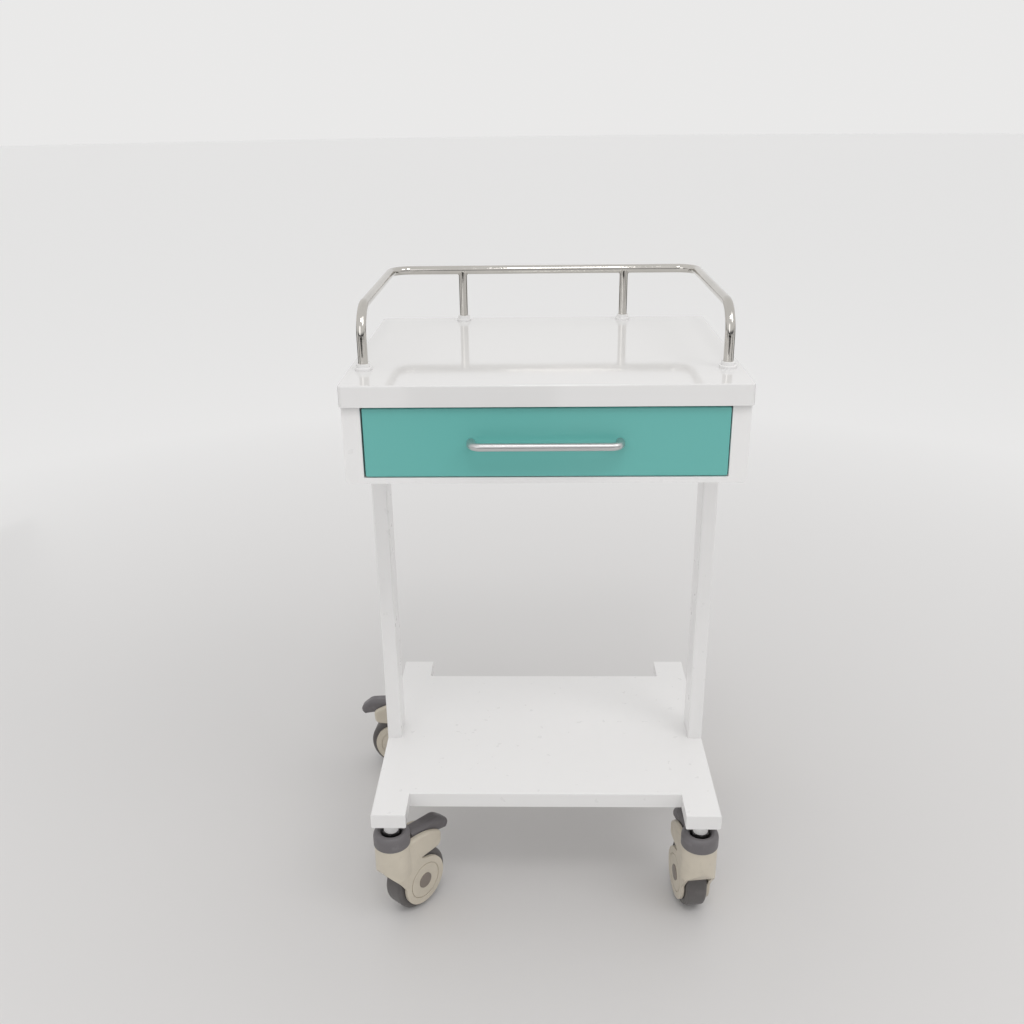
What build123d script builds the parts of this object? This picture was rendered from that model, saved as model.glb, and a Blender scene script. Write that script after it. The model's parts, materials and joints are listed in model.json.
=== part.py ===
from build123d import *
import math
import os

# Instrument cart: a flat worktop with a guard rail over a one-drawer cabinet, two columns and a
# low shelf between two base beams on four swivel casters with brake pedals.
# Millimetres. +Z is up and -Y is the drawer side. The origin is on the floor, under the centre
# of the worktop.

# worktop
deck_w, deck_d, deck_z = 502.0, 418.0, 824.0
deck_lip, deck_t = 27.0, 1.5
deck_corner_r, deck_edge_r = 6.0, 2.0

# cabinet
cab_w, cab_z0, cab_t = 498.0, 697.0, 1.5
cab_front, cab_back = -202.5, 202.5
cab_corner_r = 5.0
cab_top = deck_z - deck_t
open_w, open_z0, open_z1 = 452.0, 704.8, 796.0
frame_return = 16.0

# drawer
front_w, front_z0, front_z1, front_shift = 448.8, 706.0, 794.6, 0.4
front_y, front_depth, front_t, front_r = -203.5, 18.0, 1.2, 2.5
box_w, box_z0, box_z1, box_back, box_t = 420.0, 712.0, 782.0, 165.0, 1.0

# telescopic slides
slide_z, slide_y0, slide_y1, slide_t = 742.0, -180.0, 170.0, 1.2
slide_x1 = 222.7
outer_half, mid_half, inner_half = 22.5, 20.9, 19.2
outer_x0, mid_x0, mid_x1, inner_x1 = 210.6, 212.0, 220.9, 218.6
bracket_half, bracket_t = 26.0, 1.5

# handle
bar_r, bar_half, bar_z, bar_out, bar_bend = 5.0, 91.5, 751.2, 21.0, 12.0
bolt_r, bolt_hole_r, bolt_head_r, bolt_head_h, bolt_bite = 1.95, 2.1, 4.0, 2.5, 9.0

# columns and base
col_w, col_d, col_wall, col_r, col_plate = 22.0, 48.0, 1.5, 2.5, 4.0
base_z, beam_w, beam_h, beam_half, beam_wall, beam_r = 200.0, 50.0, 23.0, 215.0, 1.5, 2.5
beam_cap_t = 2.0
shelf_half, shelf_t, shelf_r = 165.5, 1.2, 1.5
m6_r, m6_hole_r, m6_head_r, m6_head_h = 2.95, 3.2, 5.0, 3.5
col_screw_y, col_screw_bite = 13.0, 9.0
shelf_screw_ys, shelf_screw_r, shelf_screw_hole_r = (-120.0, 0.0, 120.0), 2.0, 2.2
shelf_screw_drop, shelf_screw_bite, shelf_head_r, shelf_head_h = 11.5, 6.0, 4.0, 2.0

# guard rail
rail_r, rail_wall, rail_z = 6.35, 1.2, 901.0
rail_x, rail_y0, rail_y1 = 231.0, -126.0, 189.0
rail_front_bend, rail_back_bend = 38.0, 28.0
post_x, rail_plug = 123.0, 14.0
collar_r0, collar_r1, collar_h0, collar_h1, collar_bore = 11.0, 8.8, 3.2, 8.0, 6.5
seat_r, seat_deep = 11.2, 0.4
foot_z = deck_z - seat_deep
m5_r, m5_hole_r, m5_head_r, m5_head_h, m5_bite = 2.45, 2.6, 4.5, 3.0, 11.0

# casters: turned about each stem, with the wheel trailing along the heading
beam_z0 = base_z - beam_h
stem_x, stem_y = 224.0, 193.0
headings = {
    "front_left": 38.7,
    "front_right": -7.1,
    "rear_left": -84.0,
    "rear_right": 168.0,
}
wheel_r, wheel_z, trail = 48.0, 48.0, 42.0
hub_r, hub_half, tyre_half, tyre_shoulder = 37.0, 16.3, 15.3, 5.0
axle_r, axle_bore_r, button_r, button_h = 4.0, 4.06, 12.0, 1.2
arm_in, arm_out, disc_r, cavity_r, cover_edge_r = 17.2, 21.6, 38.5, 51.0, 5.0
ring_r, ring_w, ring_deep = 28.0, 1.3, 1.1
arm_gap_z, fork_top_z = 80.0, 118.0
trough_half, trough_z0, trough_z1 = 14.2, 105.0, 97.0
neck_r, neck_z0, neck_z1, neck_blend = 26.0, 80.0, 136.0, 10.0
journal_r, journal_bore_r, journal_z0 = 6.0, 6.06, 101.0
cap_r, cap_hole_r, cap_z1 = 26.9, 14.0, 158.0
nut_flats, nut_z0, nut_z1 = 23.0, 150.0, 157.4
neck_ring_r, spacer_r, spacer_bore_r = 10.5, 10.8, 6.0
thread_r, thread_top, insert_r, insert_bore_r = 5.9, 196.0, 10.0, 6.1
pedal_half, pedal_side, pedal_round = 12.0, 2.6, 7.0
pin_y, pin_z, pin_r, pin_bore_r, lug_half, lug_r = 40.0, 124.0, 2.5, 2.56, 6.0, 5.0


def box(x0, x1, y0, y1, z0, z1):
    """Solid box between two corners."""
    return Pos((x0 + x1) / 2, (y0 + y1) / 2, (z0 + z1) / 2) * Box(x1 - x0, y1 - y0, z1 - z0)


def rod(r, z0, z1, x=0.0, y=0.0):
    """Upright cylinder."""
    return Pos(x, y, (z0 + z1) / 2) * Cylinder(r, z1 - z0)


def rod_y(r, y0, y1, x, z):
    """Cylinder along Y."""
    return Pos(x, (y0 + y1) / 2, z) * Rot(90, 0, 0) * Cylinder(r, y1 - y0)


def rod_x(r, x0, x1, y, z):
    """Cylinder along X."""
    return Pos((x0 + x1) / 2, y, z) * Rot(0, 90, 0) * Cylinder(r, x1 - x0)


def plate_xz(w, z0, z1, r, y0, y1):
    """Upright plate facing -Y, with rounded lower corners."""
    solid = box(-w / 2, w / 2, y0, y1, z0, z1)
    low = [e for e in solid.edges().filter_by(Axis.Y) if e.center().Z < z0 + 1]
    return fillet(low, r)


def sides():
    """The left and right sides, as multipliers of X."""
    return {"left": -1, "right": 1}


def stems():
    """Each caster's name and stem position."""
    return {
        "front_left": (-stem_x, -stem_y),
        "front_right": (stem_x, -stem_y),
        "rear_left": (-stem_x, stem_y),
        "rear_right": (stem_x, stem_y),
    }


def rail_feet():
    """The four points where the rail stands on the worktop."""
    return [(-rail_x, rail_y0), (rail_x, rail_y0), (-post_x, rail_y1), (post_x, rail_y1)]


def deck():
    """Worktop: a sheet folded down into a lip on all four sides, with seats for the rail's feet."""
    solid = box(-deck_w / 2, deck_w / 2, -deck_d / 2, deck_d / 2, deck_z - deck_lip, deck_z)
    solid = fillet(solid.edges().filter_by(Axis.Z), deck_corner_r)
    solid = fillet(solid.faces().sort_by(Axis.Z)[-1].edges(), deck_edge_r)
    inner = box(
        -deck_w / 2 + deck_t, deck_w / 2 - deck_t, -deck_d / 2 + deck_t, deck_d / 2 - deck_t,
        deck_z - deck_lip - 1, deck_z - deck_t,
    )
    inner = fillet(inner.edges().filter_by(Axis.Z), deck_corner_r - deck_t)
    solid -= inner
    for x, y in rail_feet():
        solid -= rod(m5_hole_r, deck_z - 2 * deck_t, deck_z + 1, x, y)
        solid -= rod(seat_r, foot_z, deck_z + 1, x, y)
    return solid


def cabinet_wrap():
    """Cabinet sides and floor: one sheet folded up at both sides."""
    y0, y1 = cab_front + cab_t, cab_back - cab_t
    solid = plate_xz(cab_w, cab_z0, cab_top, cab_corner_r, y0, y1)
    solid -= plate_xz(
        cab_w - 2 * cab_t, cab_z0 + cab_t, cab_top + 1, cab_corner_r - cab_t, y0 - 1, y1 + 1
    )
    for s in sides().values():
        for y in (-col_screw_y, col_screw_y):
            solid -= rod(m6_hole_r, cab_z0 - 1, cab_z0 + 2 * cab_t, s * column_x(), y)
    return solid


def back_panel():
    """Flat sheet that closes the cabinet's back."""
    return plate_xz(cab_w, cab_z0, cab_top, cab_corner_r, cab_back - cab_t, cab_back)


def front_frame():
    """Cabinet face around the drawer, with its edges folded back into the cabinet."""
    half, y_in = open_w / 2, cab_front + cab_t
    solid = plate_xz(cab_w, cab_z0, cab_top, cab_corner_r, cab_front, y_in)
    solid += box(
        -half - cab_t, half + cab_t, y_in, cab_front + frame_return, open_z0 - cab_t, open_z1 + cab_t
    )
    solid -= box(-half, half, cab_front - 1, cab_front + frame_return + 1, open_z0, open_z1)
    rim = [
        e
        for e in solid.faces().sort_by(Axis.Y)[0].edges()
        if abs(e.center().X) < half + 0.1 and open_z0 - 0.1 < e.center().Z < open_z1 + 0.1
    ]
    return fillet(rim, cab_t * 0.8)


def drawer_front():
    """Drawer face: a folded pan, open at the back."""
    lo, hi = front_shift - front_w / 2, front_shift + front_w / 2
    solid = box(lo, hi, front_y, front_y + front_depth, front_z0, front_z1)
    solid = fillet(solid.edges().filter_by(Axis.Y), front_r)
    solid = fillet(solid.faces().sort_by(Axis.Y)[0].edges(), front_r - 0.5)
    solid -= box(
        lo + front_t, hi - front_t, front_y + front_t, front_y + front_depth + 1,
        front_z0 + front_t, front_z1 - front_t,
    )
    for s in (-1, 1):
        solid -= rod_y(bolt_hole_r, front_y - 1, front_y + 2 * front_t, s * bar_half, bar_z)
    return solid


def drawer_box():
    """Open-topped sheet tray behind the drawer face."""
    half, y0 = box_w / 2, front_y + front_depth
    solid = box(-half, half, y0, box_back, box_z0, box_z1)
    solid = fillet([e for e in solid.edges().filter_by(Axis.Y) if e.center().Z < box_z0 + 1], 2 * box_t)
    solid -= box(-half + box_t, half - box_t, y0 + box_t, box_back - box_t, box_z0 + box_t, box_z1 + 1)
    for s in (-1, 1):
        solid -= rod_y(bolt_hole_r, y0 - 1, y0 + 2 * box_t, s * bar_half, bar_z)
    return solid


def handle():
    """Bow handle: one round bar bent back to the drawer face at both ends."""
    y0, y1 = front_y, front_y - bar_out
    path = FilletPolyline(
        (-bar_half, y0, bar_z), (-bar_half, y1, bar_z), (bar_half, y1, bar_z), (bar_half, y0, bar_z),
        radius=bar_bend,
    )
    start = Plane(origin=(-bar_half, y0, bar_z), z_dir=(0, -1, 0))
    solid = sweep(start * Circle(bar_r), path=path)
    for s in (-1, 1):
        solid -= rod_y(bolt_r + 0.05, y0 - bolt_bite - 1, y0 + 1, s * bar_half, bar_z)
    return solid


def handle_screws():
    """Two screws from inside the drawer into the handle's ends."""
    y_in = front_y + front_depth + box_t
    parts = []
    for s in (-1, 1):
        parts += [
            rod_y(bolt_r, front_y - bolt_bite, y_in, s * bar_half, bar_z),
            rod_y(bolt_head_r, y_in, y_in + bolt_head_h, s * bar_half, bar_z),
        ]
    return Compound(children=[parts[0] + parts[1], parts[2] + parts[3]])


def channel(x_web, x_lip, half, t, s):
    """Slide rail of C section along Y, its web at x_web and its lips reaching to x_lip."""
    lo, hi = sorted((x_web, x_lip))
    solid = box(lo, hi, slide_y0, slide_y1, slide_z - half, slide_z + half)
    inward = t if x_web > x_lip else -t
    cut = sorted((x_web - inward, x_lip - inward))
    solid -= box(*cut, slide_y0 - 1, slide_y1 + 1, slide_z - half + t, slide_z + half - t)
    return solid if s > 0 else mirror(solid, about=Plane.YZ)


def slide_outer(s):
    """Slide member fixed to the cabinet."""
    return channel(slide_x1, outer_x0, outer_half, slide_t, s)


def slide_mid(s):
    """Slide member that runs between the other two."""
    return channel(mid_x1, mid_x0, mid_half, slide_t, s)


def slide_inner(s):
    """Slide member fixed to the drawer."""
    return channel(box_w / 2, inner_x1, inner_half, slide_t, s)


def slide_bracket(s):
    """Channel that carries the fixed slide off the cabinet's side."""
    x0, x1 = slide_x1, cab_w / 2 - cab_t
    solid = box(x0, x1, slide_y0, slide_y1, slide_z - bracket_half, slide_z + bracket_half)
    solid -= box(
        x0 + bracket_t, x1 + 1, slide_y0 - 1, slide_y1 + 1,
        slide_z - bracket_half + bracket_t, slide_z + bracket_half - bracket_t,
    )
    return solid if s > 0 else mirror(solid, about=Plane.YZ)


def column_x():
    """Distance of a column's centre from the middle."""
    return cab_w / 2 - col_w / 2


def column(s):
    """Upright rectangular tube with a tapped plate welded in at each end."""
    x = s * column_x()
    outer = box(x - col_w / 2, x + col_w / 2, -col_d / 2, col_d / 2, base_z, cab_z0)
    outer = fillet(outer.edges().filter_by(Axis.Z), col_r)
    w, d = col_w / 2 - col_wall, col_d / 2 - col_wall
    solid = outer - box(x - w, x + w, -d, d, base_z + col_plate, cab_z0 - col_plate)
    for y in (-col_screw_y, col_screw_y):
        solid -= rod(m6_r + 0.05, base_z - 1, base_z + col_screw_bite + 1, x, y)
        solid -= rod(m6_r + 0.05, cab_z0 - col_screw_bite - 1, cab_z0 + 1, x, y)
    return solid


def column_screws():
    """Eight screws that hold the columns to the cabinet's floor and to the beams."""
    made = []
    for s in sides().values():
        for y in (-col_screw_y, col_screw_y):
            x, top, low = s * column_x(), cab_z0 + cab_t, base_z - beam_wall
            made.append(
                rod(m6_r, cab_z0 - col_screw_bite, top, x, y) + rod(m6_head_r, top, top + m6_head_h, x, y)
            )
            made.append(
                rod(m6_r, low, base_z + col_screw_bite, x, y) + rod(m6_head_r, low - m6_head_h, low, x, y)
            )
    return Compound(children=made)


def beam_block(s, y0, y1):
    """Length of a beam's outer shape, rounded except where it meets the shelf's top."""
    x_in, x_out = s * (cab_w / 2 - beam_w), s * cab_w / 2
    solid = box(min(x_in, x_out), max(x_in, x_out), y0, y1, beam_z0, base_z)
    rounded = [
        e for e in solid.edges().filter_by(Axis.Y)
        if e.center().Z < base_z - 1 or abs(e.center().X - x_in) > 1
    ]
    return fillet(rounded, beam_r)


def beam(s):
    """Base beam: rectangular tube from front to back."""
    x0, x1, y1 = cab_w / 2 - beam_w, cab_w / 2, beam_half - beam_cap_t
    lo, hi = sorted((s * (x0 + beam_wall), s * (x1 - beam_wall)))
    solid = beam_block(s, -y1, y1)
    solid -= box(lo, hi, -y1 - 1, y1 + 1, beam_z0 + beam_wall, base_z - beam_wall)
    for y in (-col_screw_y, col_screw_y):
        solid -= rod(m6_hole_r, base_z - 2 * beam_wall, base_z + 1, s * column_x(), y)
    for y in (-stem_y, stem_y):
        solid -= rod(insert_bore_r, beam_z0 - 1, beam_z0 + 2 * beam_wall, s * stem_x, y)
    for y in shelf_screw_ys:
        z = base_z - shelf_screw_drop
        a, b = sorted((s * (x0 - 1), s * (x0 + 2 * beam_wall)))
        solid -= rod_x(shelf_screw_hole_r, a, b, y, z)
    return solid


def beam_caps():
    """Four plates that close the beams' ends."""
    made = []
    for s in sides().values():
        for e in (-1, 1):
            a, b = sorted((e * (beam_half - beam_cap_t), e * beam_half))
            cap = beam_block(s, a, b)
            face = cap.faces().sort_by(Axis.Y)[0 if e < 0 else -1]
            made.append(fillet(face.edges(), 0.8))
    return Compound(children=made)


def shelf_panel():
    """Low shelf: a sheet folded down on all four sides, between the beams."""
    half = cab_w / 2 - beam_w
    solid = box(-half, half, -shelf_half, shelf_half, beam_z0, base_z)
    long = [e for e in solid.faces().sort_by(Axis.Z)[-1].edges() if abs(e.center().Y) > 1]
    solid = fillet(long, shelf_r)
    solid -= box(
        -half + shelf_t, half - shelf_t, -shelf_half + shelf_t, shelf_half - shelf_t,
        beam_z0 - 1, base_z - shelf_t,
    )
    for s in sides().values():
        a, b = sorted((s * (half - 2 * shelf_t), s * (half + 1)))
        for y in shelf_screw_ys:
            solid -= rod_x(shelf_screw_hole_r, a, b, y, base_z - shelf_screw_drop)
    return solid


def shelf_screws():
    """Six screws from under the shelf into the beams' sides."""
    made, half = [], cab_w / 2 - beam_w
    for s in sides().values():
        for y in shelf_screw_ys:
            z, x = base_z - shelf_screw_drop, half - shelf_t
            a, b = sorted((s * x, s * (half + shelf_screw_bite)))
            c, d = sorted((s * (x - shelf_head_h), s * x))
            made.append(rod_x(shelf_screw_r, a, b, y, z) + rod_x(shelf_head_r, c, d, y, z))
    return Compound(children=made)


def arc_point(cx, cy, r, a):
    """Point on a circle, angle in degrees."""
    return cx + r * math.cos(math.radians(a)), cy + r * math.sin(math.radians(a))


def rail_path():
    """Centre line of the bent rail, from the left foot round to the right foot."""
    x, y0, y1, z = rail_x, rail_y0, rail_y1, rail_z
    f, b = rail_front_bend, rail_back_bend
    fm, bm = f * (1 - math.sqrt(0.5)), b * (1 - math.sqrt(0.5))
    left = [
        Line((-x, y0, foot_z), (-x, y0, z - f)),
        ThreePointArc((-x, y0, z - f), (-x, y0 + fm, z - fm), (-x, y0 + f, z)),
        Line((-x, y0 + f, z), (-x, y1 - b, z)),
        ThreePointArc((-x, y1 - b, z), (-x + bm, y1 - bm, z), (-x + b, y1, z)),
    ]
    right = [
        Line((-x + b, y1, z), (x - b, y1, z)),
        ThreePointArc((x - b, y1, z), (x - bm, y1 - bm, z), (x, y1 - b, z)),
        Line((x, y1 - b, z), (x, y0 + f, z)),
        ThreePointArc((x, y0 + f, z), (x, y0 + fm, z - fm), (x, y0, z - f)),
        Line((x, y0, z - f), (x, y0, foot_z)),
    ]
    return Wire(left + right)


def guard_rail():
    """Guard rail: one tube bent up from the worktop, back, and round behind it."""
    start = Plane(origin=(-rail_x, rail_y0, foot_z), z_dir=(0, 0, 1))
    path = rail_path()
    solid = sweep(start * Circle(rail_r), path=path)
    solid -= sweep(start * Circle(rail_r - rail_wall), path=path)
    for s in (-1, 1):
        plug = rod(rail_r - rail_wall, foot_z, deck_z + rail_plug, s * rail_x, rail_y0)
        solid += plug - rod(m5_r + 0.05, deck_z - 1, deck_z + m5_bite + 1, s * rail_x, rail_y0)
    return solid


def rail_post(s):
    """Rear post, cut to fit under the rail."""
    x = s * post_x
    solid = rod(rail_r, foot_z, rail_z, x, rail_y1)
    solid -= rod(rail_r - rail_wall, deck_z + rail_plug, rail_z + 1, x, rail_y1)
    solid -= rod(m5_r + 0.05, deck_z - 1, deck_z + m5_bite + 1, x, rail_y1)
    return solid - rod_x(rail_r, x - 20, x + 20, rail_y1, rail_z)


def rail_collars():
    """Four stepped collars round the rail's feet."""
    made = []
    for x, y in rail_feet():
        ring = rod(collar_r0, foot_z, deck_z + collar_h0, x, y)
        ring = fillet(ring.faces().sort_by(Axis.Z)[-1].edges(), 0.8)
        top = rod(collar_r1, deck_z + collar_h0 - 0.5, deck_z + collar_h1, x, y)
        top = fillet(top.faces().sort_by(Axis.Z)[-1].edges(), 0.8)
        made.append(ring + top - rod(collar_bore, deck_z - 1, deck_z + collar_h1 + 1, x, y))
    return Compound(children=made)


def rail_screws():
    """Four screws from under the worktop into the rail's feet."""
    made, low = [], deck_z - deck_t
    for x, y in rail_feet():
        made.append(rod(m5_r, low, deck_z + m5_bite, x, y) + rod(m5_head_r, low - m5_head_h, low, x, y))
    return Compound(children=made)


def caster_inserts():
    """Four threaded bushes inside the beams' ends."""
    made = []
    for x, y in stems().values():
        z0, z1 = beam_z0 + beam_wall, base_z - beam_wall
        made.append(rod(insert_r, z0, z1, x, y) - rod(insert_bore_r, z0 - 1, z1 + 1, x, y))
    return Compound(children=made)


def turned(solid, name):
    """Caster piece moved to its stem and turned to its heading."""
    x, y = stems()[name]
    return Pos(x, y, 0) * Rot(0, 0, -headings[name]) * solid


def caster_stem():
    """Fixed stem: thread, hexagon nut with a corner to the front, and swivel journal."""
    nut = extrude(Pos(0, 0, nut_z0) * Rot(0, 0, 90) * RegularPolygon(nut_flats / 2, 6, major_radius=False),
                  nut_z1 - nut_z0)
    ring = rod(neck_ring_r, neck_z1 + 0.5, nut_z0)
    return nut + ring + rod(journal_r, journal_z0, neck_z1 + 1) + rod(thread_r, nut_z1 - 1, thread_top)


def caster_spacers():
    """Four white sleeves between the casters' nuts and the beams."""
    made = []
    for x, y in stems().values():
        sleeve = rod(spacer_r, nut_z1, beam_z0, x, y)
        sleeve = fillet(sleeve.faces().sort_by(Axis.Z)[0].edges(), 1.2)
        made.append(sleeve - rod(spacer_bore_r, nut_z1 - 1, beam_z0 + 1, x, y))
    return Compound(children=made)


def caster_cap():
    """Rounded ring on top of the fork, dished down to the nut."""
    mid, wide, tall = (cap_r + cap_hole_r) / 2, (cap_r - cap_hole_r) / 2, cap_z1 - neck_z1
    with BuildSketch(Plane.XZ) as section:
        with Locations((mid, neck_z1 + tall * 0.3)):
            Rectangle(2 * wide, tall * 0.6)
        with Locations((mid, neck_z1 + tall * 0.55)):
            Ellipse(wide, tall * 0.45)
    return revolve(section.sketch, axis=Axis.Z)


def arm_outline():
    """Side outline of the fork below its neck."""
    y, z = trail, wheel_z
    p0, p1, p2 = (-neck_r, 104.0), (-24.6, 95.0), (-16.5, 83.5)
    p3, p4 = (-5.5, 69.0), arc_point(y, z, disc_r, 172)
    bottom, rear = arc_point(y, z, disc_r, 270), arc_point(y, z, disc_r, 0)
    top, apex = arc_point(y, z, disc_r, 78), (38.0, 90.5)
    with BuildSketch(Plane.YZ) as sk:
        with BuildLine():
            Spline(p0, p1, p2, p3, p4)
            ThreePointArc(p4, bottom, rear)
            ThreePointArc(rear, arc_point(y, z, disc_r, 40), top)
            Line(top, apex)
            Line(apex, (38.0, fork_top_z))
            Line((38.0, fork_top_z), (-neck_r, fork_top_z))
            Line((-neck_r, fork_top_z), p0)
        make_face()
    return sk.sketch


def cover_outline():
    """Side outline of the cover over the wheel, on both sides of the pedal."""
    with BuildSketch(Plane.YZ) as sk:
        with BuildLine():
            Line((0.0, 90.5), (70.0, 90.5))
            ThreePointArc((70.0, 90.5), (78.0, 93.5), (81.0, 101.0))
            Line((81.0, 101.0), (81.5, 110.0))
            ThreePointArc((81.5, 110.0), (80.5, 114.0), (76.5, 117.5))
            Spline((76.5, 117.5), (62.0, 125.5), (46.0, 130.5), (28.0, 133.0))
            Line((28.0, 133.0), (0.0, 133.0))
            Line((0.0, 133.0), (0.0, 90.5))
        make_face()
    return sk.sketch


def trough_outline():
    """Side outline of the trough in the cover that the pedal moves in."""
    with BuildSketch(Plane.YZ) as sk:
        with BuildLine():
            Polyline((0.0, neck_z1 + 1), (0.0, trough_z0), (60.0, trough_z0), (90.0, trough_z1),
                     (90.0, neck_z1 + 1), (0.0, neck_z1 + 1))
        make_face()
    return sk.sketch


def caster_housing():
    """Moulded fork: round neck, two arms ending in discs, and a cover over the wheel."""
    arms = extrude(arm_outline(), arm_out, both=True)
    cover = extrude(cover_outline(), arm_out, both=True)
    tops = [
        e for e in cover.edges()
        if e.bounding_box().size.X < 0.01 and e.bounding_box().size.Y > 3 and 105 < e.center().Z < 130
    ]
    cover = fillet(tops, cover_edge_r)
    round_wall = rod(neck_r, neck_z0 - 80, neck_z1) + box(-30, 30, 0, 140, 0, neck_z1)
    slope = extrude(arm_outline(), neck_r + 1, both=True)
    neck = rod(neck_r, neck_z0, neck_z1) & (slope + box(-40, 40, -40, 40, fork_top_z - 1, neck_z1))
    solid = neck + (arms & round_wall)
    creases = [
        e for e in solid.edges().filter_by(Axis.Z)
        if abs(abs(e.center().X) - arm_out) < 0.5 and 0 < e.center().Y < neck_r
    ]
    solid = fillet(creases, neck_blend)
    solid += cover & round_wall
    solid -= rod_x(cavity_r, -arm_in, arm_in, trail, wheel_z)
    solid -= box(-arm_in, arm_in, trail, trail + 60, -10, wheel_z)
    solid -= box(-arm_in, arm_in, -neck_r - 1, trail, -10, arm_gap_z)
    solid -= extrude(trough_outline(), trough_half, both=True) - rod(neck_r, neck_z0, neck_z1)
    lug = rod_x(lug_r, -lug_half, lug_half, pin_y, pin_z) + box(
        -lug_half, lug_half, pin_y - lug_r, pin_y + lug_r, trough_z0 - 1, pin_z
    )
    solid += lug
    solid -= rod_x(pin_bore_r, -lug_half - 1, lug_half + 1, pin_y, pin_z)
    solid -= rod_x(axle_r, -arm_out - 1, arm_out + 1, trail, wheel_z)
    solid -= rod(journal_bore_r, journal_z0 - 1, neck_z1 + 1)
    for s in (-1, 1):
        a, b = sorted((s * (arm_out - ring_deep), s * (arm_out + 1)))
        groove = rod_x(ring_r + ring_w / 2, a, b, trail, wheel_z)
        solid -= groove - rod_x(ring_r - ring_w / 2, a - 1, b + 1, trail, wheel_z)
    return solid


def caster_axle():
    """Axle pin with a round button on each end."""
    solid = rod_x(axle_r, -arm_out, arm_out, trail, wheel_z)
    for s in (-1, 1):
        a, b = sorted((s * arm_out, s * (arm_out + button_h)))
        button = rod_x(button_r, a, b, trail, wheel_z)
        face = button.faces().sort_by(Axis.X)[-1 if s > 0 else 0]
        solid += fillet(face.edges(), 0.7)
    return solid


def caster_hub():
    """Wheel centre with its plain bore."""
    solid = rod_x(hub_r, -hub_half + 1.5, hub_half - 1.5, trail, wheel_z)
    solid += rod_x(3 * axle_r, -hub_half, hub_half, trail, wheel_z)
    return solid - rod_x(axle_bore_r, -hub_half - 1, hub_half + 1, trail, wheel_z)


def caster_tyre():
    """Tread ring with rounded shoulders."""
    solid = rod_x(wheel_r, -tyre_half, tyre_half, trail, wheel_z)
    rims = [e for e in solid.edges() if e.bounding_box().size.X < 0.01]
    solid = fillet(rims, tyre_shoulder)
    return solid - rod_x(hub_r, -tyre_half - 1, tyre_half + 1, trail, wheel_z)


def pedal_outline():
    """Side outline of the brake pedal."""
    back, tip, heel = (90.5, 131.0), (111.5, 112.5), (102.0, 102.0)
    with BuildSketch(Plane.YZ) as sk:
        with BuildLine():
            Polyline((29.0, 117.0), (29.0, 138.0), back, tip, heel, (60.0, 112.5), (29.0, 117.0))
        make_face()
        for corner, radius in ((back, 20.0), (tip, 9.0), (heel, 3.0)):
            fillet(sk.vertices().sort_by_distance((*corner, 0))[0], radius)
    return sk.sketch


def caster_pedal():
    """Brake pedal: a hollow hood with rounded shoulders, and its hinge pin."""
    solid = extrude(pedal_outline(), pedal_half, both=True)
    crown = [
        e for e in solid.edges()
        if e.bounding_box().size.X < 0.01 and e.center().Y > pin_y and (e.center().Z > 113 or e.center().Y > 105)
    ]
    solid = fillet(crown, pedal_round)
    with BuildSketch(Plane.YZ) as hollow:
        with BuildLine():
            Polyline((34.0, 80.0), (34.0, 132.5), (88.0, 125.5), (103.0, 113.0), (96.0, 99.0), (90.0, 80.0),
                     (34.0, 80.0))
        make_face()
    solid -= extrude(hollow.sketch, pedal_half - pedal_side, both=True)
    pin_half = pedal_half - pedal_side / 3
    return solid + rod_x(pin_r, -pin_half, pin_half, pin_y, pin_z)


def nodes():
    """Every piece of the cart by name."""
    made = {
        "deck": deck(),
        "cabinet_wrap": cabinet_wrap(),
        "back_panel": back_panel(),
        "front_frame": front_frame(),
        "drawer_front": drawer_front(),
        "drawer_box": drawer_box(),
        "handle": handle(),
        "handle_screws": handle_screws(),
        "column_screws": column_screws(),
        "beam_caps": beam_caps(),
        "shelf_panel": shelf_panel(),
        "shelf_screws": shelf_screws(),
        "guard_rail": guard_rail(),
        "rail_collars": rail_collars(),
        "rail_screws": rail_screws(),
        "caster_inserts": caster_inserts(),
        "caster_spacers": caster_spacers(),
    }
    for side, s in sides().items():
        made[f"slide_outer_{side}"] = slide_outer(s)
        made[f"slide_mid_{side}"] = slide_mid(s)
        made[f"slide_inner_{side}"] = slide_inner(s)
        made[f"slide_bracket_{side}"] = slide_bracket(s)
        made[f"column_{side}"] = column(s)
        made[f"beam_{side}"] = beam(s)
        made[f"rail_post_{side}"] = rail_post(s)
    pieces = {
        "cap": caster_cap(),
        "housing": caster_housing(),
        "axle": caster_axle(),
        "hub": caster_hub(),
        "tyre": caster_tyre(),
        "pedal": caster_pedal(),
    }
    for name, (x, y) in stems().items():
        made[f"caster_stem_{name}"] = Pos(x, y, 0) * caster_stem()
        for piece, solid in pieces.items():
            made[f"caster_{piece}_{name}"] = turned(solid, name)
    return made


os.makedirs("parts", exist_ok=True)
for node, shape in nodes().items():
    export_step(shape, f"parts/{node}.step")
    print(node, round(shape.volume), shape.is_valid)
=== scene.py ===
"""Instrument cart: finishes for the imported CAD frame, small added details, studio and camera."""

import json
import math

import bmesh
import bpy
from mathutils import Matrix, Vector


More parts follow.
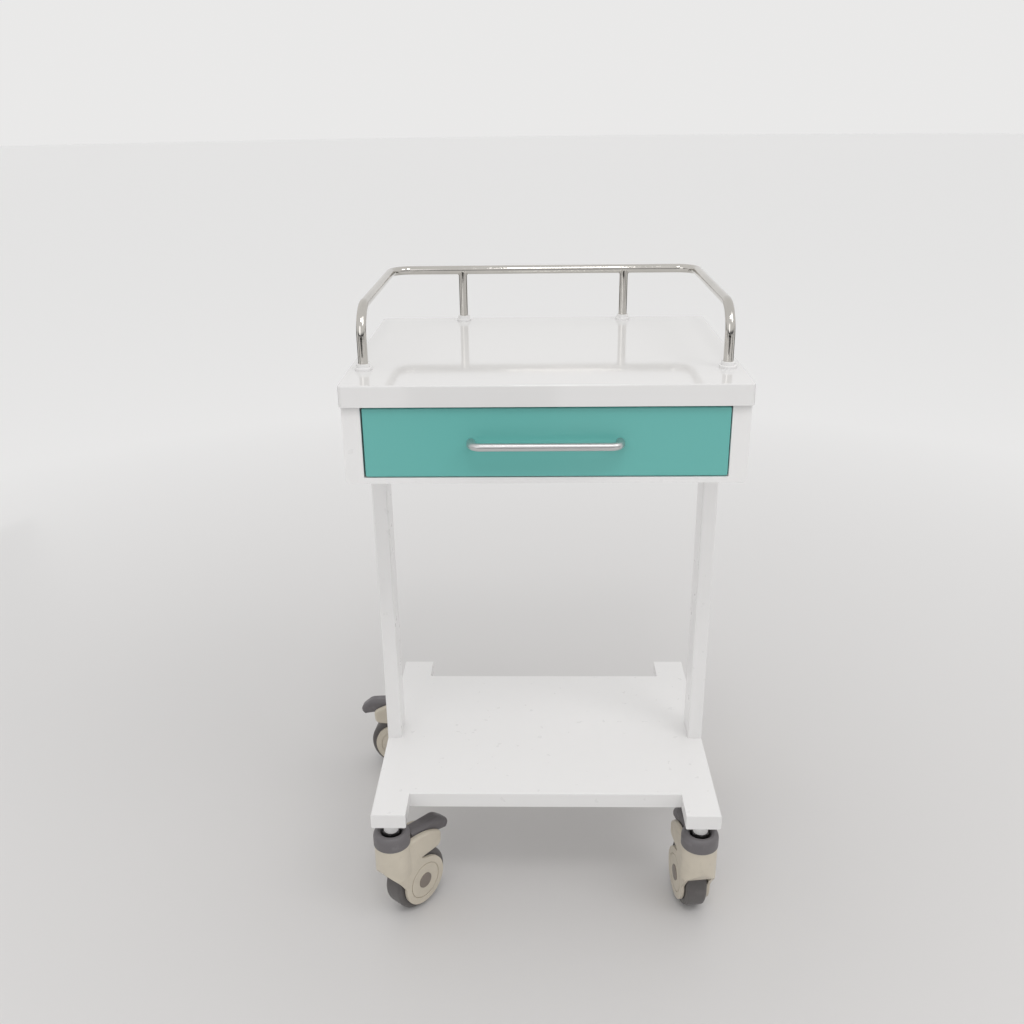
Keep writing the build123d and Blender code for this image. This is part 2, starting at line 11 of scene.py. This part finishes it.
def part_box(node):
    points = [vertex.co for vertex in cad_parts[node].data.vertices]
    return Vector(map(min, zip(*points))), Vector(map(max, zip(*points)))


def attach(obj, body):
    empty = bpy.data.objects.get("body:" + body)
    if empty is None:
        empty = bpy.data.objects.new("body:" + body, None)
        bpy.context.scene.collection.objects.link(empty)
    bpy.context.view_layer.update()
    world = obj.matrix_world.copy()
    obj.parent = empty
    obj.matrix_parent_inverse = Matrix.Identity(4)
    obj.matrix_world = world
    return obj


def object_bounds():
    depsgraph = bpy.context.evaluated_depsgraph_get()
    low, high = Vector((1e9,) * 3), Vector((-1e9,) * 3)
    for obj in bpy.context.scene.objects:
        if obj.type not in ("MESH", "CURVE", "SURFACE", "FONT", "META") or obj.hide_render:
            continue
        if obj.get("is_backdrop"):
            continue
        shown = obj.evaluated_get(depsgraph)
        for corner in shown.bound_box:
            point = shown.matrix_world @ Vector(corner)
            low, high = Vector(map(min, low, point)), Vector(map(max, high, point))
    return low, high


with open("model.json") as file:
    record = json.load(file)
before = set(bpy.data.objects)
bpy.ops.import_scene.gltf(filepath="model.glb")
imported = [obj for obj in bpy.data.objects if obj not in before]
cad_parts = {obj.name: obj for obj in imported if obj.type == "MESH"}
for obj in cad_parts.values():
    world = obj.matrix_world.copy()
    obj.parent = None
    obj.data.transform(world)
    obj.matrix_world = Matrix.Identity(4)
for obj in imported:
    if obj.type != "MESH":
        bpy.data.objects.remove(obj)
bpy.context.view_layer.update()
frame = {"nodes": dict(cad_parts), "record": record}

# ---------------------------------------------------------------- driving values (metres, degrees)

SIDES = ("left", "right")
UP = Vector((0.0, 0.0, 1.0))

BEAD_RADIUS = 0.0010                   # of the weld round a rail post's top
BEAD_RIPPLE, BEAD_RIPPLES = 0.16, 22   # height of its ripples against that radius, and their count
BEAD_STATIONS, BEAD_SIDES = 132, 10
SEAM_SOFTNESS = 0.2                    # rounds the seam's two sharp peaks, against the post's radius
SEAM_STEP = 0.01                       # half the turn in radians that a tangent is measured over
NEARLY_UPRIGHT = 0.999

# the eye stands in front of the worktop's front edge, a little left of its middle
EYE_FROM_DECK_FRONT = Vector((-0.0114, -1.1847, 0.3112))
EYE_YAW, EYE_PITCH, EYE_ROLL = -1.48, 21.81, -0.73
LENS_MM, SENSOR_MM = 35.8, 36.0

FLOOR_RADIUS, FLOOR_CORNERS = 40.0, 96
FLOOR_FADE_START, FLOOR_FADE_END = 0.45, 2.6
FLOOR_GREY = (0.66, 0.65, 0.645)
HORIZON_GREY = (0.95, 0.95, 0.95)
ROOM_COLOUR = (0.82, 0.815, 0.81)

SHADE_COLOUR = (0.10, 0.10, 0.105)     # the dim band low on the eye's side of the room
SHADE_Y = (-0.05, -0.60)               # where it starts and is full, as the y of a direction
SHADE_Z = (0.20, 0.06)                 # the same for how far above or below the horizon

FLAGS = (                              # azimuth from the front, width and foot of each dark card
    (-5, 2.2, 0.42),
    (-5, 0.45, 0.02),
    (-62, 0.40, 0.02),
    (58, 0.40, 0.02),
    (-118, 1.1, 0.02),
    (118, 1.1, 0.02),
)
FLAG_DISTANCE, FLAG_STEP = 2.0, 0.01   # of the first card, and how much further out each next one is
FLAG_TOP = 0.80
FLAG_GREY = (0.05, 0.048, 0.045)

LIGHTS = (                             # name, place, width, power in watts, colour
    ("key", (1.5, -1.2, 2.6), 1.1, 9.5, (1.0, 0.99, 0.985)),
    ("fill", (-1.2, -2.6, 1.7), 1.4, 6, (0.99, 0.99, 1.0)),
    ("lamp", (0.1, -1.45, 2.75), 0.45, 6.5, (1.0, 0.985, 0.985)),
)

WHITE = (0.83, 0.825, 0.82)
TEAL = (0.125, 0.455, 0.418)
BEIGE = (0.615, 0.56, 0.465)
CREAM = (0.70, 0.665, 0.58)
CHARCOAL = (0.156, 0.147, 0.153)
TYRE_GREY = (0.103, 0.096, 0.094)
TAUPE = (0.230, 0.195, 0.170)
STAINLESS = (0.60, 0.58, 0.545)
ALUMINIUM = (0.63, 0.625, 0.625)
ZINC = (0.60, 0.61, 0.61)
BLACK_PLATE = (0.17, 0.165, 0.17)

CLEAR_COAT = 0.35                      # weight of the clear coat on paint
COAT_TO_PAINT = 0.5                    # its roughness against the paint's
GRAIN_STRETCH = (0.03, 1.0, 1.0)       # brushing is drawn out along x
BUFFING_STRETCH = (0.08, 0.08, 1.0)    # buffing is drawn out along x and y

MIX_FIRST, MIX_SECOND, MIX_RESULT = 6, 7, 2     # the colour sockets of a Mix node


# ---------------------------------------------------------------- node graphs

class Finish:
    """One material: a Principled shader painted by the object's own coordinates."""

    def __init__(self, name, **values):
        self.material = bpy.data.materials.new(name)
        self.material.use_nodes = True
        self.nodes = self.material.node_tree.nodes
        self.links = self.material.node_tree.links
        self.shader = self.nodes["Principled BSDF"]
        self.place = self.nodes.new("ShaderNodeTexCoord").outputs["Object"]
        for name_of_socket, value in values.items():
            self.shader.inputs[name_of_socket.replace("_", " ")].default_value = value

    def noise(self, per_metre, detail, stretch=(1.0, 1.0, 1.0)):
        """Noise with about per_metre cells in a metre, drawn out along an axis by stretch."""
        mapping = self.nodes.new("ShaderNodeMapping")
        mapping.inputs["Scale"].default_value = stretch
        self.links.new(self.place, mapping.inputs["Vector"])
        noise = self.nodes.new("ShaderNodeTexNoise")
        noise.inputs["Scale"].default_value = per_metre
        noise.inputs["Detail"].default_value = detail
        self.links.new(mapping.outputs["Vector"], noise.inputs["Vector"])
        return noise.outputs["Fac"]

    def spread(self, value, low, high, start=0.35, end=0.65):
        """A value between start and end becomes one between low and high."""
        node = self.nodes.new("ShaderNodeMapRange")
        node.inputs["From Min"].default_value = start
        node.inputs["From Max"].default_value = end
        node.inputs["To Min"].default_value = low
        node.inputs["To Max"].default_value = high
        self.links.new(value, node.inputs["Value"])
        return node.outputs["Result"]

    def mix(self, factor, first, second):
        """Two colours mixed by a factor; either may be a colour or another node's output."""
        node = self.nodes.new("ShaderNodeMix")
        node.data_type = "RGBA"
        self.links.new(factor, node.inputs["Factor"])
        for socket, colour in ((node.inputs[MIX_FIRST], first), (node.inputs[MIX_SECOND], second)):
            if isinstance(colour, tuple):
                socket.default_value = (*colour, 1.0)
            else:
                self.links.new(colour, socket)
        return node.outputs[MIX_RESULT]

    def colour(self, output):
        self.links.new(output, self.shader.inputs["Base Color"])

    def roughness(self, output):
        self.links.new(output, self.shader.inputs["Roughness"])

    def bump(self, *layers):
        """Relief from (height, depth in metres) layers, each on top of the last."""
        normal = None
        for height, depth in layers:
            node = self.nodes.new("ShaderNodeBump")
            node.inputs["Distance"].default_value = depth
            self.links.new(height, node.inputs["Height"])
            if normal:
                self.links.new(normal, node.inputs["Normal"])
            normal = node.outputs["Normal"]
        self.links.new(normal, self.shader.inputs["Normal"])


def shade(colour, factor):
    """The colour made lighter or darker."""
    return tuple(channel * factor for channel in colour)


def powder_coat(name, colour, gloss, peel):
    """Baked paint: a slightly uneven tone and gloss, and orange peel."""
    f = Finish(name, IOR=1.5, Coat_Weight=CLEAR_COAT, Coat_Roughness=gloss * COAT_TO_PAINT)
    tone = f.noise(per_metre=60, detail=3)
    f.colour(f.mix(tone, shade(colour, 0.993), shade(colour, 1.005)))
    haze = f.noise(per_metre=60, detail=3)
    f.roughness(f.spread(haze, low=gloss * 0.9, high=gloss * 1.15, start=0, end=1))
    f.bump((f.noise(per_metre=420, detail=1), peel))
    return f.material


def polished_tube(name, haze=1.0):
    """Mirror-polished stainless tube with fine buffing haze."""
    f = Finish(name, Metallic=1.0)
    tint = f.spread(f.noise(per_metre=16, detail=5), low=0, high=1)
    f.colour(f.mix(tint, shade(STAINLESS, 0.94), shade(STAINLESS, 1.05)))
    smears = f.noise(per_metre=90, detail=6)
    f.roughness(f.spread(smears, low=0.06 * haze, high=0.14 * haze))
    buffing = f.noise(per_metre=2200, detail=1, stretch=BUFFING_STRETCH)
    f.bump((buffing, 2e-6), (f.noise(per_metre=30, detail=2), 2e-5))
    return f.material


def satin_metal(name, colour, rough):
    """Brushed metal whose grain runs along one axis."""
    f = Finish(name, Metallic=1.0, Anisotropic=0.45)
    grain = f.noise(per_metre=3000, detail=2, stretch=GRAIN_STRETCH)
    f.colour(f.mix(f.spread(grain, low=0, high=1), shade(colour, 0.96), shade(colour, 1.03)))
    f.roughness(f.spread(grain, low=rough * 0.92, high=rough * 1.1))
    f.bump((grain, 5e-7))
    return f.material


def plated_metal(name, colour, rough):
    """Plated steel: small spangle and dull patches."""
    f = Finish(name, Metallic=1.0)
    patches = f.spread(f.noise(per_metre=45, detail=5), low=0, high=1)
    f.colour(f.mix(patches, shade(colour, 0.86), shade(colour, 1.08)))
    dullness = f.noise(per_metre=130, detail=4)
    f.roughness(f.spread(dullness, low=rough * 0.8, high=rough * 1.3))
    f.bump((f.noise(per_metre=700, detail=2), 6e-6))
    return f.material


def moulded_plastic(name, colour, rough, grain_depth, scuff=0.9):
    """Moulded plastic: fine spark-eroded grain, flow clouds and rubbed patches."""
    f = Finish(name, IOR=1.47)
    clouds = f.spread(f.noise(per_metre=22, detail=4), low=0, high=1)
    rubbed = f.spread(f.noise(per_metre=75, detail=6), low=0, high=1, start=0.56, end=0.70)
    body = f.mix(clouds, shade(colour, 0.96), shade(colour, 1.04))
    faint = f.spread(rubbed, low=0, high=0.5, start=0, end=1)
    f.colour(f.mix(faint, body, shade(colour, scuff)))
    haze = f.noise(per_metre=110, detail=4)
    f.roughness(f.spread(haze, low=rough * 0.85, high=rough * 1.15))
    grain = f.noise(per_metre=1500, detail=2)
    f.bump((grain, grain_depth), (f.noise(per_metre=40, detail=2), 4e-5))
    return f.material


def rubber(name, colour):
    """Grey tyre rubber, dusty in patches."""
    f = Finish(name, IOR=1.5, Sheen_Weight=0.08)
    dust = f.spread(f.noise(per_metre=70, detail=7), low=0, high=1, start=0.45, end=0.68)
    faint = f.spread(dust, low=0, high=0.6, start=0, end=1)
    f.colour(f.mix(faint, colour, shade(colour, 1.5)))
    f.roughness(f.spread(dust, low=0.42, high=0.68, start=0, end=1))
    grain = f.noise(per_metre=1100, detail=3)
    f.bump((grain, 1.5e-5), (f.noise(per_metre=140, detail=3), 3e-5))
    return f.material


# ---------------------------------------------------------------- finishes on the CAD nodes

def finish_cad_nodes():
    """Gives every CAD node the finish of its slot; the worktop's is glossier and darkened as painted
    shade.

    Returns the finishes by slot, with one more for the welds.
    """
    drawer_white, plastic_white = shade(WHITE, 0.90), shade(WHITE, 1.02)
    finishes = {
        "white_paint": powder_coat("white_powder_coat", WHITE, gloss=0.28, peel=2.5e-6),
        "teal_paint": powder_coat("teal_powder_coat", TEAL, gloss=0.36, peel=3e-6),
        "grey_paint": powder_coat("drawer_powder_coat", drawer_white, gloss=0.36, peel=4e-6),
        "satin_aluminium": satin_metal("satin_aluminium", ALUMINIUM, rough=0.33),
        "polished_steel": polished_tube("polished_stainless"),
        "white_plastic": moulded_plastic(
            "white_plastic", plastic_white, rough=0.38, grain_depth=5e-6),
        "zinc_steel": plated_metal("zinc_plated_steel", ZINC, rough=0.34),
        "caster_stem_metal": plated_metal("black_plated_nut", BLACK_PLATE, rough=0.42),
        "dark_plastic": moulded_plastic(
            "charcoal_plastic", CHARCOAL, rough=0.46, grain_depth=1.4e-5, scuff=1.35),
        "beige_plastic": moulded_plastic("beige_nylon", BEIGE, rough=0.42, grain_depth=8e-6),
        "hub_plastic": moulded_plastic("cream_nylon", CREAM, rough=0.40, grain_depth=8e-6),
        "grey_tyre": rubber("grey_tyre_rubber", TYRE_GREY),
        "button_plastic": moulded_plastic("taupe_plastic", TAUPE, rough=0.40, grain_depth=8e-6),
    }
    finishes["weld"] = polished_tube("weld_bead_steel", haze=2.2)
    # the worktop's white is darkened to 0.93 of the other white paint as painted shade, beside its
    # higher gloss
    worktop = powder_coat("worktop_gloss_coat_painted_shade", shade(WHITE, 0.93), gloss=0.08, peel=1.2e-6)
    slot_of = {part["node"]: part["material_slot"] for part in frame["record"]["subparts"]}
    for name, node in frame["nodes"].items():
        material = worktop if name == "deck" else finishes[slot_of[name]]
        node.data.materials.clear()
        node.data.materials.append(material)
    return finishes


# ---------------------------------------------------------------- added details

def closed_tube(name, stations, material):
    """Closed mesh tube; each station is (centre, tangent, radius)."""
    mesh = bpy.data.meshes.new(name)
    shape = bmesh.new()
    rings = []
    for centre, tangent, radius in stations:
        upright = abs(tangent.z) > NEARLY_UPRIGHT
        side = (tangent.orthogonal() if upright else tangent.cross(UP)).normalized()
        lift = side.cross(tangent).normalized()
        ring = []
        for k in range(BEAD_SIDES):
            angle = 2 * math.pi * k / BEAD_SIDES
            outward = math.cos(angle) * side + math.sin(angle) * lift
            ring.append(shape.verts.new(centre + radius * outward))
        rings.append(ring)
    for ring, after in zip(rings, rings[1:] + rings[:1]):
        for k in range(BEAD_SIDES):
            following = (k + 1) % BEAD_SIDES
            shape.faces.new((ring[k], ring[following], after[following], after[k]))
    bmesh.ops.recalc_face_normals(shape, faces=shape.faces)
    for face in shape.faces:
        face.smooth = True
    shape.to_mesh(mesh)
    shape.free()
    mesh.materials.append(material)
    piece = bpy.data.objects.new(name, mesh)
    bpy.context.scene.collection.objects.link(piece)
    return piece


def weld_beads(material):
    """Rippled weld round the top of each rear post, where it meets the rail."""
    rail_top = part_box("guard_rail")[1].z
    for side in SIDES:
        low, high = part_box(f"rail_post_{side}")
        middle = (low + high) / 2
        radius = (high.x - low.x) / 2
        axis_z = rail_top - radius

        def seam(turn):
            """Point of the seam between two equal tubes, at a turn about the post."""
            x, y = radius * math.cos(turn), radius * math.sin(turn)
            drop = math.sqrt(x * x + (SEAM_SOFTNESS * radius) ** 2)
            return Vector((middle.x + x, middle.y + y, axis_z - drop))

        stations = []
        for k in range(BEAD_STATIONS):
            turn = 2 * math.pi * k / BEAD_STATIONS
            tangent = (seam(turn + SEAM_STEP) - seam(turn - SEAM_STEP)).normalized()
            ripple = 1 + BEAD_RIPPLE * math.sin(BEAD_RIPPLES * turn)
            stations.append((seam(turn), tangent, BEAD_RADIUS * ripple))
        bead = closed_tube(f"rail_weld_{side}", stations, material)
        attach(bead, "cart_frame")


# ---------------------------------------------------------------- studio

def floor():
    """A wide pale disc that gets paler away from the cart."""
    mesh = bpy.data.meshes.new("studio_floor")
    shape = bmesh.new()
    bmesh.ops.create_circle(shape, cap_ends=True, segments=FLOOR_CORNERS, radius=FLOOR_RADIUS)
    shape.to_mesh(mesh)
    shape.free()
    disc = bpy.data.objects.new("studio_floor", mesh)
    bpy.context.scene.collection.objects.link(disc)

    f = Finish("studio_floor", Roughness=0.55)
    length = f.nodes.new("ShaderNodeVectorMath")
    length.operation = "LENGTH"
    f.links.new(f.place, length.inputs[0])
    distance = length.outputs["Value"]
    far = f.spread(distance, low=0, high=1, start=FLOOR_FADE_START, end=FLOOR_FADE_END)
    f.colour(f.mix(far, FLOOR_GREY, HORIZON_GREY))
    mesh.materials.append(f.material)
    disc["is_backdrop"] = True


def soft_light(name, place, target, size, watts, colour):
    """Square area light at a place, turned to face the target."""
    data = bpy.data.lights.new(name, "AREA")
    data.shape = "SQUARE"
    data.size = size
    data.energy = watts
    data.color = colour
    light = bpy.data.objects.new(name, data)
    light.location = place
    light.rotation_euler = (target - Vector(place)).to_track_quat("-Z", "Y").to_euler()
    bpy.context.scene.collection.objects.link(light)


def flags():
    """Dark cards round the cart, lower than its worktop, that show only in reflections."""
    f = Finish("flag_cloth", Roughness=0.9)
    weave = f.spread(f.noise(per_metre=400, detail=2), low=0, high=1)
    f.colour(f.mix(weave, shade(FLAG_GREY, 0.9), shade(FLAG_GREY, 1.1)))
    for number, (azimuth, width, floor_gap) in enumerate(FLAGS):
        turn = math.radians(azimuth)
        outward = Vector((math.sin(turn), -math.cos(turn), 0.0))
        across = Vector((outward.y, -outward.x, 0.0)) * width / 2
        foot = outward * (FLAG_DISTANCE + number * FLAG_STEP)
        mesh = bpy.data.meshes.new(f"flag_{number}")
        left, right = foot - across, foot + across
        low, high = UP * floor_gap, UP * FLAG_TOP
        mesh.from_pydata((left + low, right + low, right + high, left + high), [], [(0, 1, 2, 3)])
        mesh.materials.append(f.material)
        card = bpy.data.objects.new(f"flag_{number}", mesh)
        bpy.context.scene.collection.objects.link(card)
        card.visible_camera = False
        card.visible_diffuse = False
        card.visible_shadow = False
        card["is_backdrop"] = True


def room():
    """Pale room, dim low on the eye's side; the camera itself sees only the pale colour."""
    world = bpy.data.worlds.new("pale_room")
    world.use_nodes = True
    nodes, links = world.node_tree.nodes, world.node_tree.links
    axes = nodes.new("ShaderNodeSeparateXYZ")
    links.new(nodes.new("ShaderNodeTexCoord").outputs["Generated"], axes.inputs[0])

    def maths(operation, first, second=0.0):
        node = nodes.new("ShaderNodeMath")
        node.operation = operation
        for socket, value in zip(node.inputs, (first, second)):
            if isinstance(value, float):
                socket.default_value = value
            else:
                links.new(value, socket)
        return node.outputs[0]

    def ramp(value, ends):
        node = nodes.new("ShaderNodeMapRange")
        node.inputs["From Min"].default_value, node.inputs["From Max"].default_value = ends
        links.new(value, node.inputs["Value"])
        return node.outputs["Result"]

    eye_side = ramp(axes.outputs["Y"], SHADE_Y)
    near_horizon = ramp(maths("ABSOLUTE", axes.outputs["Z"]), SHADE_Z)
    band = maths("MULTIPLY", eye_side, near_horizon)
    unseen = maths("SUBTRACT", 1.0, nodes.new("ShaderNodeLightPath").outputs["Is Camera Ray"])
    mix = nodes.new("ShaderNodeMix")
    mix.data_type = "RGBA"
    links.new(maths("MULTIPLY", band, unseen), mix.inputs["Factor"])
    mix.inputs[MIX_FIRST].default_value = (*ROOM_COLOUR, 1.0)
    mix.inputs[MIX_SECOND].default_value = (*SHADE_COLOUR, 1.0)
    links.new(mix.outputs[MIX_RESULT], nodes["Background"].inputs["Color"])
    bpy.context.scene.world = world


def studio():
    """Floor, cards, room and lights, with colours shown as they are."""
    floor()
    flags()
    room()
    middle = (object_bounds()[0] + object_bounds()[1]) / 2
    for name, place, size, watts, colour in LIGHTS:
        soft_light(name, place, middle, size, watts, colour)
    bpy.context.scene.view_settings.view_transform = "Standard"


# ---------------------------------------------------------------- camera

def camera():
    """The photograph's eye, placed from the worktop's front edge."""
    low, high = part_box("deck")
    deck_front = Vector(((low.x + high.x) / 2, low.y, high.z))
    yaw, pitch, roll = (math.radians(angle) for angle in (EYE_YAW, EYE_PITCH, EYE_ROLL))
    ahead = Vector((
        math.sin(yaw) * math.cos(pitch),
        math.cos(yaw) * math.cos(pitch),
        -math.sin(pitch),
    ))
    level = Vector((math.cos(yaw), -math.sin(yaw), 0.0))
    upright = level.cross(ahead)
    right = math.cos(roll) * level + math.sin(roll) * upright
    up = math.cos(roll) * upright - math.sin(roll) * level
    data = bpy.data.cameras.new("photo_view")
    data.lens = LENS_MM
    data.sensor_width = SENSOR_MM
    eye = bpy.data.objects.new("photo_view", data)
    turn = Matrix((right, up, -ahead)).transposed().to_4x4()
    eye.matrix_world = Matrix.Translation(deck_front + EYE_FROM_DECK_FRONT) @ turn
    bpy.context.scene.collection.objects.link(eye)
    bpy.context.scene.camera = eye


weld_beads(finish_cad_nodes()["weld"])
studio()
camera()
